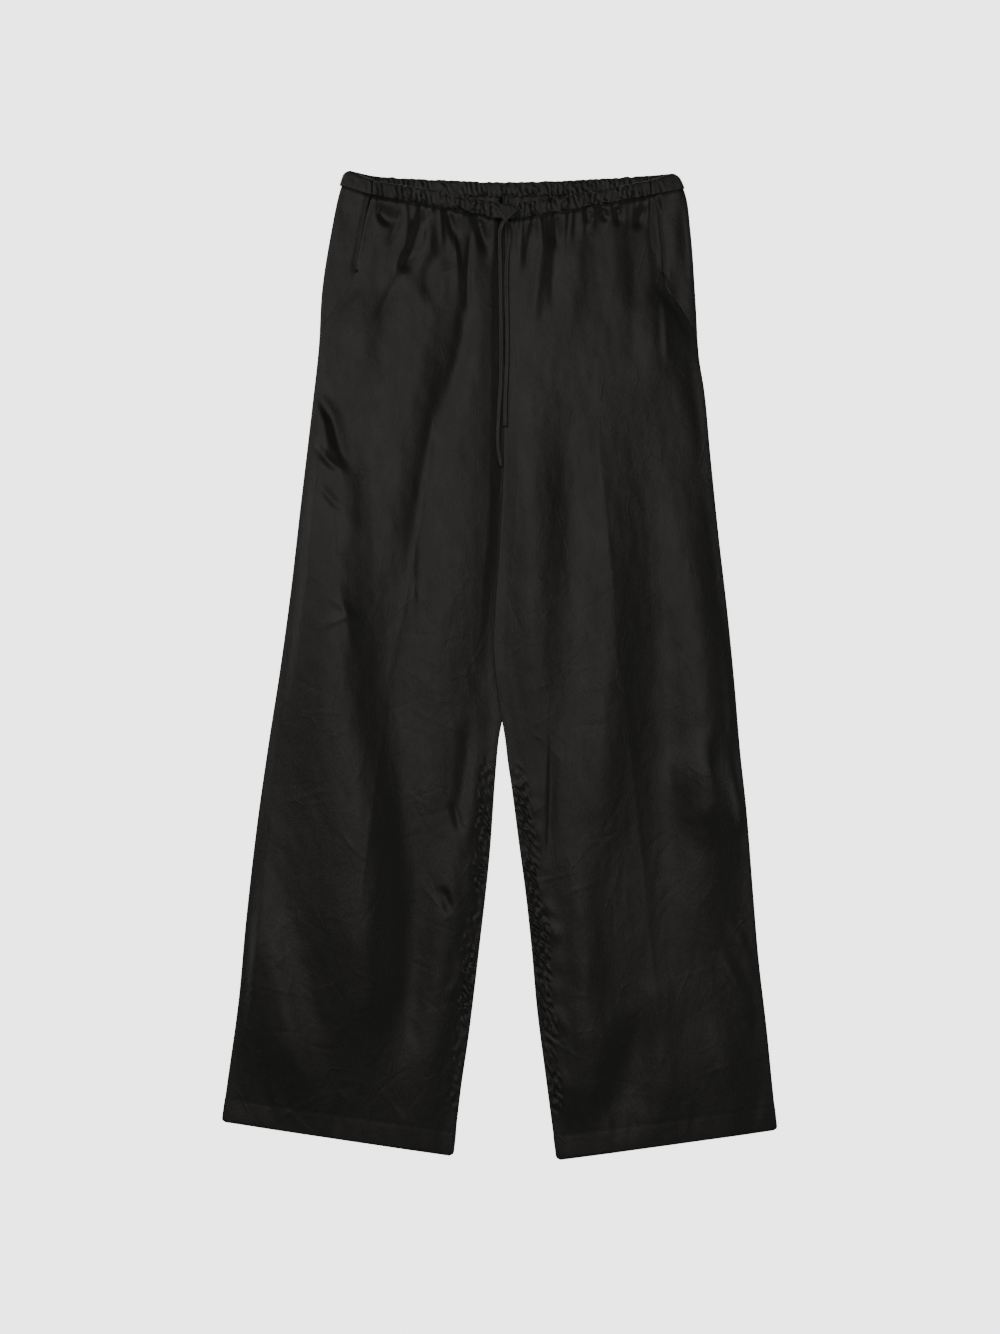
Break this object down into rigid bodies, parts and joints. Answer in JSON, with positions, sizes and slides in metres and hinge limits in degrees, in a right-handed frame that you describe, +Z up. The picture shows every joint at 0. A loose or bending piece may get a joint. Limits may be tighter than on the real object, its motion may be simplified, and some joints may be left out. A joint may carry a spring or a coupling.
{
  "type": "straight trousers",
  "caption": "Black satin pull-on trousers with straight wide legs, gathered elastic waist, drawstring and side pockets, laid flat.",
  "frame": {"origin": "on the surface that the trousers lie on, below the middle of their box", "axes": "+X towards the wearer's left, +Y from the hems to the waist, +Z up from the surface"},
  "size_m": [0.61, 1.0867, 0.0105],
  "materials": {
    "satin": "satin",
    "drawstring": "satin"
  },
  "bodies": {
    "root": {"leg_front_left": "satin", "leg_front_right": "satin", "leg_back_left": "satin", "leg_back_right": "satin", "pocket_facing_left": "satin", "pocket_facing_right": "satin", "waistband_front": "satin", "waistband_back": "satin", "waistband_side_left": "satin", "waistband_side_right": "satin", "drawstring_long": "drawstring", "drawstring_short": "drawstring"}
  },
  "joints": []
}
